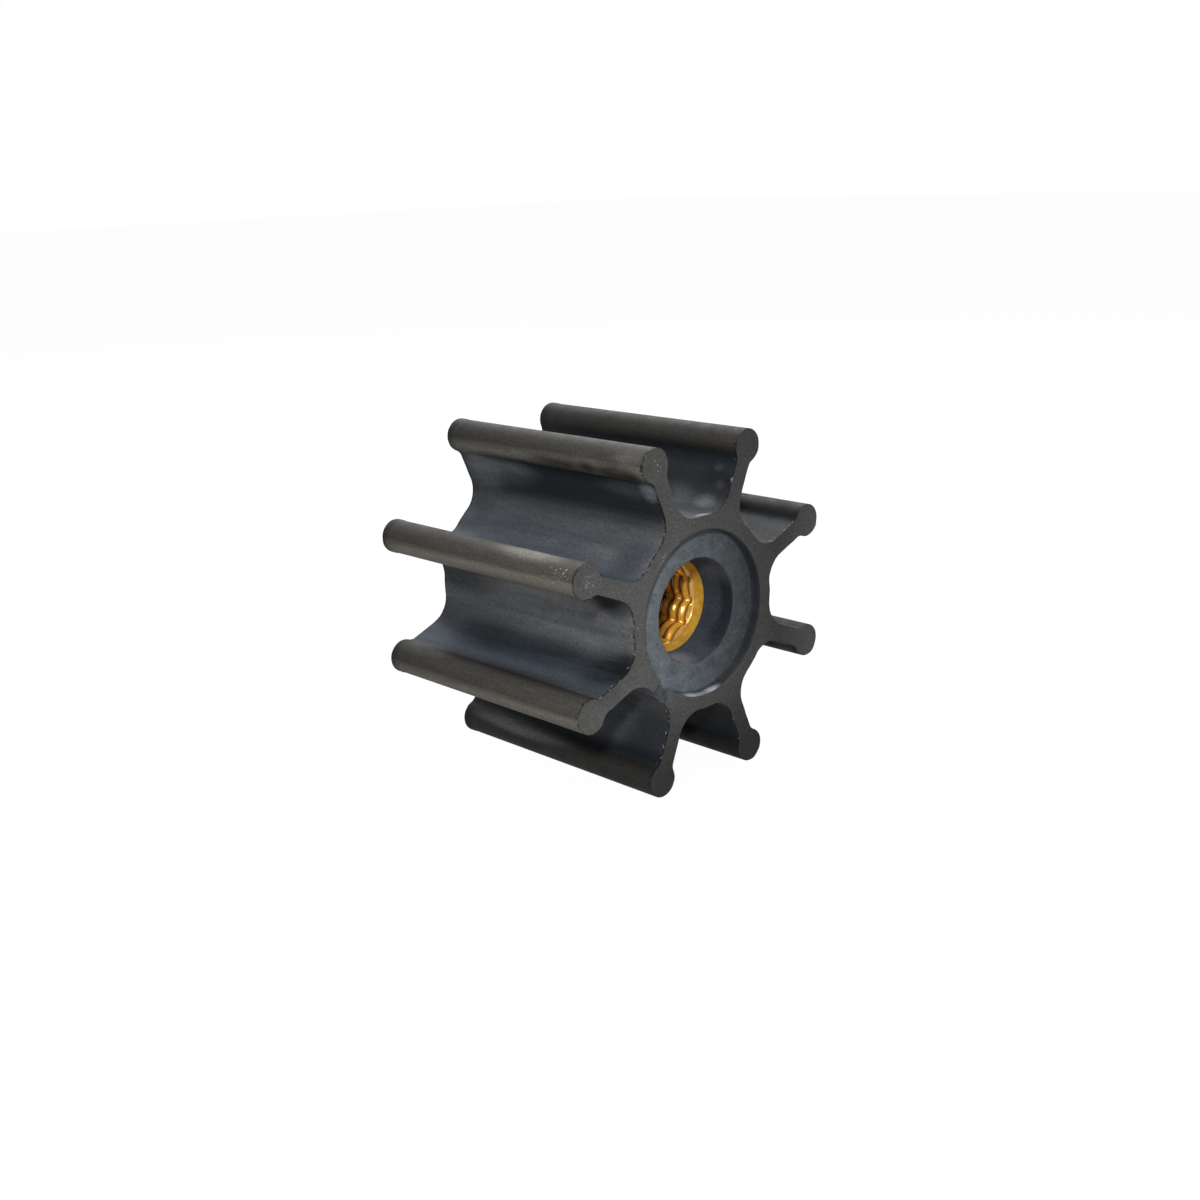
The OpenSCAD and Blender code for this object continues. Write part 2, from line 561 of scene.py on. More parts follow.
    def draw_out(self, piece: Object) -> None:
        """Draws the outline along the shaft, with close stations by both ends."""
        w = self.half_width
        ends = [0.0, self.flash_h, *self.close_stations, self.far_lip_len, self.even_from]
        inner = w - self.even_from
        count = round(2 * inner / self.station_gap)
        middle = [-inner + 2 * inner * i / count for i in range(1, count)]
        places = [-w + e for e in ends] + middle + [w - e for e in reversed(ends)]
        with editing(piece):
            bpy.ops.mesh.select_all(action="SELECT")
            for y0, y1 in zip(places, places[1:]):
                bpy.ops.mesh.extrude_region_move(TRANSFORM_OT_translate={"value": (0, y1 - y0, 0)})

    def inner_profile(self) -> list[tuple[float, float]]:
        """Lists the turned profile from the near lip through the bore to the far lip.

        The taper runs on into the insert's place, so that no ring lies in the cavity's end plane.
        """
        face = self.face_y
        floor = self.half_width - self.recess_depth
        lip = arc_points((self.recess_r + self.recess_lip_r, face - self.recess_lip_r),
                         self.recess_lip_r, 90, 180, self.arc_steps)
        corner = arc_points((self.recess_r - self.recess_corner_r, floor + self.recess_corner_r),
                            self.recess_corner_r, 0, -90, self.arc_steps)
        rim = arc_points((self.mouth_r + self.bore_rim_r, floor - self.bore_rim_r),
                         self.bore_rim_r, 90, 180, self.arc_steps)
        span = corner[-1][0] - rim[0][0]
        floor_rings = [(corner[-1][0] - span * i / self.floor_steps, floor)
                       for i in range(1, self.floor_steps)]
        taper_y = floor - self.mouth_len
        slope = (self.mouth_r - self.insert.bore_r) / (taper_y - self.insert.half_length)
        past_r = self.insert.bore_r - slope * self.taper_run
        taper = [(self.mouth_r, taper_y), (past_r, self.insert.half_length - self.taper_run)]
        inside = [(past_r, self.insert.half_length - i * MM) for i in range(1, 4)]
        half = lip + corner + floor_rings + rim + taper + inside
        return [(r, -y) for r, y in half] + list(reversed(half))

    def inner_wall(self) -> Object:
        """Turns the recesses and the rubber's bore as one open wall."""
        profile = self.inner_profile()
        wall = start_ring("rotor_inner_wall", profile[0][0], profile[0][1], self.ring_points)
        with editing(wall):
            bpy.ops.mesh.select_all(action="SELECT")
            turn_profile(wall, profile)
        return wall

    def close_face(self, piece: Object, end: End) -> None:
        """Fills one end face and sets it back behind the flash that its edges keep.

        Args:
            piece: The joined moulding.
            end: The end whose face is closed.
        """
        edge_y = end.value * self.half_width
        face_y = end.value * self.face_y
        lip_r = self.recess_r + self.recess_lip_r
        with editing(piece):
            choose_points(piece, lambda co: abs(co.y - edge_y) < WELD
                          or (abs(co.y - face_y) < WELD and abs(from_shaft(co) - lip_r) < BY_THE_LIP))
            bpy.ops.mesh.fill(use_beauty=True)
            choose_faces(piece, lambda f: end.value * f.calc_center_median().y > self.face_y - WELD
                         and abs(f.normal.y) > SQUARE_ON)
            bpy.ops.mesh.inset(thickness=self.flash_w, use_boundary=True, use_even_offset=True)
            bpy.ops.transform.resize(value=(1, 0, 1), center_override=(0, face_y, 0))

    def roughen_edges(self, piece: Object) -> None:
        """Breaks up the flash along both ends' edges and leaves the small lip on the far beads."""
        w = self.half_width
        bead_x = self.tip_r - self.bead_r
        for point in piece.data.vertices:
            co = point.co
            if abs(abs(co.y) - w) < WELD:
                ragged = noise.fractal(co / self.flash_tear, self.flash_coarseness, self.flash_lacunarity,
                                       self.flash_octaves)
                keep = min(max(self.flash_kept + self.flash_swing * ragged, 0.0), 1.0)
                co.y = math.copysign(w - self.flash_h * (1 - keep), co.y)
            if co.y > w - self.far_lip_len + WELD and from_shaft(co) > bead_x - self.bead_r:
                turn = math.degrees(math.atan2(co.z, co.x))
                first = self.blade_step / 2
                blade = round((turn - first) / self.blade_step) * self.blade_step + first
                centre = on_face(blade, bead_x, co.y)
                out = co - centre
                if out.length > self.bead_r - self.lip_band:
                    co += out.normalized() * self.far_lip_h

    def cut_nick(self, piece: Object) -> None:
        """Cuts the shallow torn nick out through the recess's lip on the near face."""
        inner_x = self.recess_r - self.recess_corner_r - MM
        outer_x = self.hub_r + MM
        floor_y = -self.half_width + self.nick_depth
        length = outer_x - inner_x
        bpy.ops.object.select_all(action="DESELECT")
        bpy.ops.mesh.primitive_cube_add(size=1, location=((inner_x + outer_x) / 2, floor_y - MM, 0),
                                        scale=(length, 2 * MM, self.nick_inner_w))
        tool = take_added("nick_tool")
        with editing(tool):
            choose_points(tool, lambda co: co.x > outer_x - WELD)
            bpy.ops.transform.resize(value=(1, 1, self.nick_outer_w / self.nick_inner_w),
                                     center_override=(outer_x, 0, 0))
            bpy.ops.mesh.select_all(action="SELECT")
            bpy.ops.mesh.subdivide(number_cuts=self.nick_cuts)
            bpy.ops.transform.rotate(value=math.radians(self.nick_angle), orient_axis="Y",
                                     center_override=(0, 0, 0))
        for point in tool.data.vertices:
            torn = noise.noise_vector(point.co / self.nick_tear)
            point.co += Vector((torn.x * self.nick_torn_across_mm, torn.y * self.nick_torn_deep_mm,
                                torn.z * self.nick_torn_across_mm)) * MM
        cut_away(piece, tool)

    def build(self) -> Object:
        """Makes the finished rotor."""
        rotor = self.outline()
        self.draw_out(rotor)
        join(rotor, self.inner_wall())
        for end in End:
            self.close_face(rotor, end)
        weld_and_face_out(rotor)
        self.roughen_edges(rotor)
        cut_away(rotor, self.insert.blank("insert_cavity_tool"))
        self.cut_nick(rotor)
        weld_and_face_out(rotor)
        smooth(rotor)
        return rotor


class Whereabouts:
    """Sockets that tell a material where it is on the part, in millimetres, and how it faces."""

    def __init__(self, tree: NodeTree) -> None:
        coords = add_node(tree, "TexCoord").outputs["Object"]
        self.point = add_node(tree, "VectorMath", {0: coords, "Scale": 1 / MM}, operation="SCALE").outputs[0]
        self.x, self.y, self.z = add_node(tree, "SeparateXYZ", {0: self.point}).outputs
        across = add_node(tree, "VectorMath", {0: self.point, 1: (1, 0, 1)}, operation="MULTIPLY")
        self.radius = add_node(tree, "VectorMath", {0: across}, operation="LENGTH").outputs["Value"]
        self.from_middle = add_node(tree, "Math", {0: self.y}, operation="ABSOLUTE").outputs[0]
        facing = add_node(tree, "SeparateXYZ", {0: add_node(tree, "NewGeometry").outputs["Normal"]})
        self.shaft_facing = facing.outputs["Y"]
        self.along_facing = add_node(tree, "Math", {0: self.shaft_facing}, operation="ABSOLUTE").outputs[0]
        self.up_facing = facing.outputs["Z"]


@dataclass(frozen=True)
class Fade:
    """A share that goes from one value to another while a measure goes from start to end.

    Args:
        start: The measure where the fade starts.
        end: The measure where it ends.
        before: The share before the start.
        past: The share past the end.
    """

    start: float
    end: float
    before: float = 0.0
    past: float = 1.0

    def of(self, measure: Node | NodeSocket) -> dict[Any, Any]:
        """Gives the inputs by which a Map Range node turns a measure into the share."""
        return {0: measure, 1: self.start, 2: self.end, 3: self.before, 4: self.past}

    def around(self, middle: float) -> "Fade":
        """Gives the same fade with its start and end counted from a middle."""
        return replace(self, start=middle + self.start, end=middle + self.end)


def faded(tree: NodeTree, share: Node, *fades: tuple[Fade, NodeSocket]) -> Node:
    """Multiplies a share by fades, each of which comes with its measure."""
    for fade, measure in fades:
        part = add_node(tree, "MapRange", fade.of(measure))
        share = add_node(tree, "Math", {0: share, 1: part}, operation="MULTIPLY")
    return share


@dataclass(frozen=True)
class Pattern:
    """A noise that breaks up a surface.

    Args:
        size_mm: Size of its largest shapes.
        detail: How many times finer shapes lie within them.
        roughness: How strong the finer shapes are.
        stretch: Its shrinking along each axis, so that 0.1 draws it out ten times.
    """

    size_mm: float
    detail: float
    roughness: float = 0.5
    stretch: tuple[float, float, float] = (1.0, 1.0, 1.0)

    def over(self, tree: NodeTree, at: Whereabouts) -> dict[Any, Any]:
        """Gives the inputs of the Noise Texture node."""
        place = at.point
        if self.stretch != (1.0, 1.0, 1.0):
            place = add_node(tree, "Mapping", {"Vector": place, "Scale": self.stretch})
        return {"Vector": place, "Scale": 1 / self.size_mm, "Detail": self.detail,
                "Roughness": self.roughness}


@dataclass(frozen=True)
class Skin:
    """One zone of the rubber's skin.

    Args:
        clean: Its colour where it is clean.
        dusty: Its colour where the dusty share is full, which is dust and, in places, painted light.
        swing: How far a noise takes the dust's share up and down.
    """

    clean: str
    dusty: str
    swing: float


@dataclass(frozen=True)
class Patch:
    """A patch of the rubber, which fades out from its middle.

    Args:
        angle: Direction of its middle round the shaft, in degrees.
        radius_mm: Distance of its middle from the shaft.
        y_mm: Place of its middle along the shaft.
        reach_mm: Distance over which it fades out.
        length_ratio: How many times longer it is along the shaft than across.
        cover: How much of the skin it covers at its middle.
    """

    angle: float
    radius_mm: float
    y_mm: float
    reach_mm: float
    length_ratio: float
    cover: float


@dataclass(frozen=True)
class Mark(Patch):
    """A patch in another tone: a mark of handling, or, where noted, a painted highlight or painted shade.

    Args:
        tone: Its colour.
    """

    tone: str


@dataclass(frozen=True)
class NitrileRubber:
    """Black nitrile rubber, compression moulded and since handled.

    The skin is a deep blue black where the mould shaped it in the pockets. Its paler share is
    dust and painted light: it grows towards -X, where it also stands in for light from that side,
    falls low down, where it is also painted shade, grows towards the near end, and falls at the
    beads' necks, partly painted shade, and on pocket walls that look down. The blades at -X take a
    blue grey painted sheen on their upward faces. Rubbing leaves the beads a grey brown with
    streaks along them, and the end faces an even mid grey with fine grain. What a Fade measures
    is a place in millimetres, how far a surface faces one way, from -1 to 1, or the height of a
    noise or a share, from 0 to 1.
    """

    pocket: Skin = Skin("#11161b", "#606163", 0.4)
    bead: Skin = Skin("#121213", "#5d5a53", 0.22)
    face: Skin = Skin("#202020", "#5e5e5d", 0.22)
    recess: Skin = Skin("#141518", "#7c848a", 0.3)
    # The bore's pale tone is painted light low down and inward, where light falls on it
    mouth: Skin = Skin("#1f2228", "#42464d", 0.15)
    # Painted sheen: a blue grey painted reflection on the blades' upward faces at -X
    painted_sheen: str = "#414b56"
    speck: str = "#dcdcd8"
    # The flash's pale tone is a painted highlight where it catches the light; the dark edge line is painted
    # shade
    flash: str = "#8d8f90"
    edge_shade: str = "#0c0c0c"
    edge_shade_mm: float = 0.35
    recess_margin_mm: float = 0.3
    mouth_margin_mm: float = 0.1
    specular: float = 0.1
    ior: float = 1.5
    # The mould's grain and flecks of dirt are finer than a pixel, so both are drawn as coarse as
    # they need to show; the other patterns have the sizes of the marks in the skin
    grain: Pattern = Pattern(0.18, 3.0, 0.6)
    fleck: Pattern = Pattern(0.34, 2.0, 0.6)
    mottle: Pattern = Pattern(0.42, 3.0, 0.7)
    torn: Pattern = Pattern(0.7, 4.0)
    cloud: Pattern = Pattern(2.5, 5.0, 0.6)
    streak: Pattern = Pattern(0.6, 5.0, 0.62, (1, 0.12, 1))
    band: Pattern = Pattern(3.2, 5.0, 0.6, (1, 0.11, 1))
    grain_depth: float = 0.02 * MM
    grain_strength: float = 0.5
    streak_depth: float = 0.05 * MM
    streak_strength: float = 0.4
    mottled: Fade = Fade(0.0, 1.0, 0.25, 1.75)
    rough: Fade = Fade(0.3, 0.7, 0.63, 0.76)
    patterned: Fade = Fade(0.3, 0.7)
    # Dust and painted light: paler towards -X for light from that side, darker low down as painted shade,
    # and paler towards the near end
    dust_and_light_aside: Fade = Fade(-24.0, 13.0, 1.0, 0.1)
    dust_and_shade_low: Fade = Fade(-27.0, -5.0, 0.34, 1.0)
    paler_to_near_end: Fade = Fade(-25.0, 25.0, 1.08, 0.42)
    # End faces: paler towards -X as painted light and darker low down as painted shade, besides dust
    end_dust_and_light_aside: Fade = Fade(-24.0, 20.0, 0.74, 0.2)
    end_dust_and_shade_low: Fade = Fade(-26.0, -13.0, 0.3, 1.0)
    end_hub: Fade = Fade(17.0, 24.0, 1.3, 1.0)
    end_at_right: Fade = Fade(13.0, 28.0, 0.0, 0.5)
    bead_low: Fade = Fade(-27.0, -14.0, 0.5, 2.2)
    bead_under: Fade = Fade(-8.0, 6.0, past=0.2)
    bead_over: Fade = Fade(-8.0, 6.0, 0.42, 0.9)
    bead_turn: Fade = Fade(-0.55, 0.15)
    bead_inner: Fade = Fade(27.0, 29.6, 0.3, 1.0)
    bead_far_rim: Fade = Fade(23.0, 24.6, 1.0, 0.35)
    pocket_wiped: Fade = Fade(17.2, 19.8, 1.0, 0.36)
    # Darker at the beads' necks: partly clean rubber, partly painted shade in the crease
    pocket_neck_shade: Fade = Fade(24.4, 26.2, 1.0, 0.1)
    pocket_hub: Fade = Fade(19.3, 21.3, 1.0, 0.0)
    pocket_under: Fade = Fade(-0.4, 0.0, 0.22, 1.0)
    pocket_shelf: Fade = Fade(0.6, 0.9, 0.0, 0.46)
    # Where the painted sheen lies: upward faces, towards -X, short of the beads
    sheen_upper: Fade = Fade(0.6, 0.9, 0.0, 0.6)
    sheen_at_left: Fade = Fade(-6.0, 4.0, 1.0, 0.0)
    sheen_inner: Fade = Fade(24.8, 26.4, 1.0, 0.0)
    # The dark edge line is painted shade, and the pale flash in the pockets a painted highlight
    shade_torn: Fade = Fade(0.35, 0.65, -0.35, 0.45)
    shade_by_edge: Fade = Fade(0.0, 0.25, 0.0, 0.8)
    shade_outer: Fade = Fade(15.6, 16.6)
    flash_glint_along: Fade = Fade(-20.0, 20.0, 0.7, 0.12)
    flash_glint_torn: Fade = Fade(0.6, 0.66)
    # Painted shade: the recess floor darkens towards +X, in the shade of the rim
    recess_shade_aside: Fade = Fade(-8.0, 12.0, 0.9, 0.55)
    recess_in_nick: Fade = Fade(0.1, 0.6, 1.0, 0.45)
    # Painted light in the bore: paler inward, past the rim's shade, and low down, where light falls
    mouth_lit_inward: Fade = Fade(21.0, 19.8, 0.0, 0.45)
    mouth_overhead: Fade = Fade(2.0, 6.0)
    mouth_lit_below: Fade = Fade(-3.0, -8.0)
    end_facing: Fade = Fade(0.8, 0.95)
    mark_broken: Fade = Fade(0.35, 0.6, 0.45, 1.0)
    patch_core: float = 0.2
    fleck_crowd: Fade = Fade(0.0, 1.0, 0.0, 0.2)
    fleck_height: Fade = Fade(0.8, 0.9, 0.0, 0.8)
    # Marks of handling, and painted highlights and painted shade where noted
    marks: tuple[Mark, ...] = (
        Mark(118.2, 29.2, -18.0, 2.6, 3.2, 0.95, "#1f1a14"),
        Mark(118.2, 29.2, -4.0, 2.0, 6.0, 0.85, "#221d17"),
        Mark(118.2, 29.3, -11.5, 1.8, 1.6, 0.9, "#1f1a14"),
        Mark(118.2, 28.6, -21.5, 2.0, 1.5, 0.9, "#1f1a14"),
        Mark(116.0, 24.6, 13.0, 4.2, 2.6, 0.6, "#565a5e"),
        Mark(118.0, 27.3, 21.0, 2.4, 2.0, 0.7, "#5a5d60"),
        Mark(116.4, 31.7, -21.5, 2.4, 2.0, 0.6, "#5a5955"),
        Mark(115.9, 25.3, -18.5, 2.4, 4.0, 0.75, "#393b3e"),
        Mark(116.0, 25.4, -23.2, 2.8, 1.0, 0.8, "#6c6f72"),
        Mark(116.0, 23.5, 20.0, 5.5, 1.4, 0.75, "#5b5e61"),
        Mark(130.0, 17.5, 22.0, 5.0, 1.2, 0.8, "#2c2f33"),
        Mark(138.0, 17.3, -20.5, 6.0, 1.0, 0.7, "#2a2d31"),
        # Painted light: lifts the shade under the blade at 157.5 degrees, on the hub
        Mark(172.0, 17.2, -1.0, 4.0, 5.0, 0.7, "#808284"),
        Mark(165.5, 18.5, -20.0, 4.2, 1.4, 0.9, "#101214"),
        Mark(153.0, 31.4, -12.0, 2.2, 5.0, 0.75, "#85827b"),
        Mark(163.5, 27.2, 14.0, 3.0, 2.5, 0.6, "#5f6265"),
        Mark(162.5, 29.4, 8.0, 2.0, 4.0, 0.7, "#77746d"),
        Mark(-162.2, 20.6, -21.5, 6.2, 1.6, 0.95, "#0f1216"),
        Mark(-164.0, 19.4, -24.0, 4.2, 1.0, 0.95, "#0f1216"),
        Mark(-162.2, 20.4, -8.0, 4.6, 3.0, 0.85, "#13171b"),
        Mark(-161.8, 20.6, 10.0, 5.4, 4.0, 0.9, "#13171b"),
        Mark(-163.0, 21.5, 24.0, 6.0, 1.0, 0.8, "#1a1d21"),
        Mark(-160.4, 27.2, -6.0, 2.0, 8.0, 0.6, "#1d1f22"),
        Mark(-116.5, 21.5, -10.0, 6.0, 1.6, 0.75, "#585d63"),
        # Painted light: lightens the top of the bead at -112.5 degrees, in the shade of the next bead
        Mark(-118.0, 28.6, 9.0, 2.2, 8.0, 0.8, "#5f6161"),
        Mark(71.5, 23.4, -20.5, 3.0, 1.4, 0.8, "#121413"),
        Mark(71.5, 22.0, -22.6, 1.2, 1.2, 0.7, "#3d4043"),
        Mark(71.2, 25.0, -21.2, 1.0, 1.6, 0.7, "#3a3d3f"),
        Mark(71.4, 23.0, -24.4, 3.2, 1.0, 0.9, "#101213"),
        Mark(68.0, 31.0, -22.0, 4.0, 1.6, 0.5, "#1b1b1a"),
        Mark(74.0, 19.0, -13.0, 3.6, 2.0, 0.3, "#6c6f73"),
        # Painted highlight: a pale crescent at the bottom of the pocket at 90 degrees, by the near end
        Mark(88.0, 17.3, -24.4, 2.6, 0.5, 0.8, "#a4a8ac"),
        Mark(75.0, 18.9, -20.5, 2.2, 1.6, 0.5, "#74767a"),
        Mark(26.5, 21.5, -21.0, 6.0, 1.5, 0.2, "#191c1f"),
        Mark(-28.0, 27.5, -21.0, 3.2, 1.2, 0.6, "#4c4f52"),
        Mark(62.0, 9.2, -21.0, 2.6, 1.0, 0.6, "#5c6066"),
        # Painted shade: near black on the blade side at -71 degrees, which lies in shade
        Mark(-71.0, 24.0, -18.0, 7.5, 2.0, 0.85, "#050607"),
        # Painted highlight on the lower wall of the near recess
        Mark(-101.0, 14.4, -24.4, 3.6, 0.4, 0.9, "#c0c4cb"),
        Mark(-83.0, 14.4, -24.4, 2.8, 0.4, 0.75, "#b6bac2"),
        # Painted light: pale at the bottom of the rubber's bore, where light falls on it
        Mark(-108.0, 9.3, -22.4, 2.4, 0.7, 0.9, "#7d8086"),
        Mark(35.0, 9.2, -19.5, 3.6, 1.0, 0.6, "#4a4d52"),
        # Painted shadow: a dark streak in the rubber's bore
        Mark(-42.0, 9.3, -22.0, 4.4, 0.9, 0.8, "#0e0f12"),
        # Painted light: pale low in the rubber's bore, where light falls on it
        Mark(-96.0, 9.1, -20.0, 3.8, 1.0, 0.9, "#8a8e94"),
    )
    specks: tuple[Patch, ...] = (
        Patch(112.0, 29.4, -25.0, 3.0, 1.0, 0.9),
        Patch(157.5, 29.2, -25.0, 3.0, 1.0, 1.0),
        Patch(157.5, 23.4, -25.0, 3.0, 1.0, 0.6),
        Patch(-157.5, 28.4, -25.0, 3.0, 1.0, 0.7),
        Patch(132.0, 15.2, -25.0, 2.4, 1.0, 1.0),
        Patch(176.0, 15.8, -25.0, 2.0, 1.0, 0.9),
        Patch(157.5, 32.4, -21.0, 3.4, 2.0, 0.9),
        Patch(-128.0, 15.0, -25.0, 2.0, 1.0, 0.9),
    )

    def settled_dust_and_light(self, tree: NodeTree, at: Whereabouts) -> Node:
        """Adds the walls' dusty share, dust and painted light: most towards -X, where it stands in for light
        from that side, and least low down, where it is painted shade.
        """
        dust = add_node(tree, "MapRange", self.dust_and_light_aside.of(at.x))
        return faded(tree, dust, (self.dust_and_shade_low, at.z))

    def dust_and_light_on_ends(self, tree: NodeTree, at: Whereabouts) -> Node:
        """Adds the end faces' dusty share, dust and painted light: most towards -X, where it stands in for
        light from that side, least low down, where it is painted shade, more round the hub, and some again
        at +X.
        """
        dust = add_node(tree, "MapRange", self.end_dust_and_light_aside.of(at.x))
        dust = faded(tree, dust, (self.end_dust_and_shade_low, at.z), (self.end_hub, at.radius))
        at_right = add_node(tree, "MapRange", self.end_at_right.of(at.x))
        return add_node(tree, "Math", {0: dust, 1: at_right}, operation="MAXIMUM")

    def held_on_beads(self, tree: NodeTree, at: Whereabouts) -> Node:
        """Adds the beads' share of the dusty colour: most on their under-sides, and little towards the neck.
        """
        low = add_node(tree, "MapRange", self.bead_low.of(at.z))
        under = add_node(tree, "MapRange", {**self.bead_under.of(at.x), 3: low})
        over = add_node(tree, "MapRange", self.bead_over.of(at.x))
        rubbed = add_node(tree, "MapRange", {**self.bead_turn.of(at.up_facing), 3: under, 4: over})
        return faded(tree, rubbed, (self.bead_inner, at.radius), (self.bead_far_rim, at.y))

    def held_in_pockets(self, tree: NodeTree, at: Whereabouts) -> Node:
        """Adds the pockets' dusty share: full on the hub, less on the blades, least on walls that look down
        and at the beads' necks, where the darkness is partly painted shade.
        """
        neck = add_node(tree, "MapRange", self.pocket_neck_shade.of(at.radius), interpolation_type="SMOOTHSTEP")
        hub = add_node(tree, "MapRange", self.pocket_hub.of(at.radius))
        under = add_node(tree, "MapRange", self.pocket_under.of(at.up_facing))
        sheltered = add_node(tree, "Math", {0: hub, 1: under}, operation="MAXIMUM")
        kept = add_node(tree, "Math", {0: neck, 1: sheltered}, operation="MULTIPLY")
        kept = faded(tree, kept, (self.pocket_wiped, at.radius))
        shelf = add_node(tree, "MapRange", self.pocket_shelf.of(at.up_facing))
        return add_node(tree, "Math", {0: kept, 1: shelf}, operation="MAXIMUM")

    def skin(self, tree: NodeTree, skin: Skin, dust: Node, pattern: Node) -> NodeSocket:
        """Adds one zone's colour.

        Args:
            tree: The material's node tree.
            skin: The zone's colours.
            dust: The share of the dusty colour, which is dust and, in places, painted light.
            pattern: The noise that breaks up that share.

        Returns:
            The colour's socket.
        """
        swing = replace(self.patterned, before=1 - skin.swing, past=1 + skin.swing)
        broken = add_node(tree, "MapRange", swing.of(pattern))
        share = add_node(tree, "Math", {0: dust, 1: broken}, operation="MULTIPLY", use_clamp=True)
        tone = add_node(tree, "Mix", {0: share, 6: linear(skin.clean), 7: linear(skin.dusty)},
                        data_type="RGBA")
        return tone.outputs[2]

    def wall_tone(self, tree: NodeTree, at: Whereabouts, beads: Node, streaks: Node,
                  bands: Node) -> NodeSocket:
        """Adds the colour of the beads and pockets, with a blue grey painted sheen, a painted reflection, on
        the upward faces of the blades at -X.

        Args:
            tree: The material's node tree.
            at: Where the material is.
            beads: The factor that is 1 on the beads.
            streaks: The noise along the beads.
            bands: The noise along the pockets.

        Returns:
            The colour's socket.
        """
        # The walls' dusty share is dust and painted light: paler towards -X and the near end, darker low
        # down
        dust = faded(tree, self.settled_dust_and_light(tree, at), (self.paler_to_near_end, at.y))
        on_beads, in_pockets = (add_node(tree, "Math", {0: dust, 1: hold}, operation="MULTIPLY")
                                for hold in (self.held_on_beads(tree, at), self.held_in_pockets(tree, at)))
        # Painted sheen, a painted reflection, on the pockets' upward faces at -X
        painted_sheen = add_node(tree, "MapRange", self.sheen_upper.of(at.up_facing))
        painted_sheen = faded(tree, painted_sheen, (self.sheen_at_left, at.x), (self.sheen_inner, at.radius))
        pocket = self.skin(tree, self.pocket, in_pockets, bands)
        pocket = add_node(tree, "Mix", {0: painted_sheen, 6: pocket, 7: linear(self.painted_sheen)}, data_type="RGBA")
        bead = self.skin(tree, self.bead, on_beads, streaks)
        walls = add_node(tree, "Mix", {0: beads, 6: pocket.outputs[2], 7: bead}, data_type="RGBA")
        return walls.outputs[2]

    def mouth_tone(self, tree: NodeTree, at: Whereabouts, cloud: Node) -> NodeSocket:
        """Adds the colour of the rubber's bore: palest inward, overhead and low down. The pale share low
        down and inward is painted light, where light falls on the bore's floor and past the shade by its
        rim.
        """
        # Painted light: the bore is paler inward and low down, where light falls on it
        dust = add_node(tree, "MapRange", self.mouth_lit_inward.of(at.from_middle))
        for fade in (self.mouth_overhead, self.mouth_lit_below):
            off_level = add_node(tree, "MapRange", fade.of(at.z))
            dust = add_node(tree, "Math", {0: dust, 1: off_level}, operation="MAXIMUM")
        return self.skin(tree, self.mouth, dust, cloud)

    def add_edge_shade_and_glints(self, tree: NodeTree, at: Whereabouts, colour: NodeSocket, beads: Node,
                       edge_mm: float) -> NodeSocket:
        """Draws the ragged line along both ends' edges: painted shade, with a painted highlight where pale
        flash is left in places and catches the light.

        Args:
            tree: The material's node tree.
            at: Where the material is.
            colour: The walls' colour.
            beads: The factor that is 1 on the beads.
            edge_mm: Distance of the edges from the rotor's middle.

        Returns:
            The colour with its lines.
        """
        torn = add_node(tree, "TexNoise", self.torn.over(tree, at))
        wide = add_node(tree, "MapRange", self.shade_torn.of(torn))
        reach = add_node(tree, "Math", {0: at.from_middle, 1: wide}, operation="ADD")
        share = add_node(tree, "MapRange", self.shade_by_edge.around(edge_mm - self.edge_shade_mm).of(reach))
        share = faded(tree, share, (self.shade_outer, at.radius))
        kept = add_node(tree, "MapRange", self.flash_glint_along.of(at.y))
        flash = add_node(tree, "MapRange", {**self.flash_glint_torn.of(torn), 4: kept})
        in_pocket = add_node(tree, "Math", {0: flash, 1: beads}, operation="SUBTRACT", use_clamp=True)
        # Painted shadow along the edge, with a painted highlight on the flash in the pockets
        tone = add_node(tree, "Mix", {0: in_pocket, 6: linear(self.edge_shade), 7: linear(self.flash)},
                        data_type="RGBA")
        mixed = add_node(tree, "Mix", {0: share, 6: colour, 7: tone.outputs[2]}, data_type="RGBA")
        return mixed.outputs[2]

    def patch(self, tree: NodeTree, at: Whereabouts, patch: Patch) -> Node:
        """Adds one patch's cover, which fades out over its reach."""
        middle = on_face(patch.angle, patch.radius_mm, patch.y_mm)
        off = add_node(tree, "VectorMath", {0: at.point, 1: middle}, operation="SUBTRACT")
        squashed = add_node(tree, "VectorMath", {0: off, 1: (1, 1 / patch.length_ratio, 1)},
                            operation="MULTIPLY")
        away = add_node(tree, "VectorMath", {0: squashed}, operation="LENGTH").outputs["Value"]
        fade = Fade(self.patch_core * patch.reach_mm, patch.reach_mm, patch.cover, 0.0)
        return add_node(tree, "MapRange", fade.of(away), interpolation_type="SMOOTHSTEP")

    def add_marks_and_painted_light(self, tree: NodeTree, at: Whereabouts, colour: NodeSocket, pattern: Node) -> NodeSocket:
        """Lays the marks, of handling and of painted light, over a colour, each with a broken edge."""
        broken = add_node(tree, "MapRange", self.mark_broken.of(pattern))
        for mark in self.marks:
            share = add_node(tree, "Math", {0: self.patch(tree, at, mark), 1: broken},
                             operation="MULTIPLY", use_clamp=True)
            mixed = add_node(tree, "Mix", {0: share, 6: colour, 7: linear(mark.tone)}, data_type="RGBA")
            colour = mixed.outputs[2]
        return colour

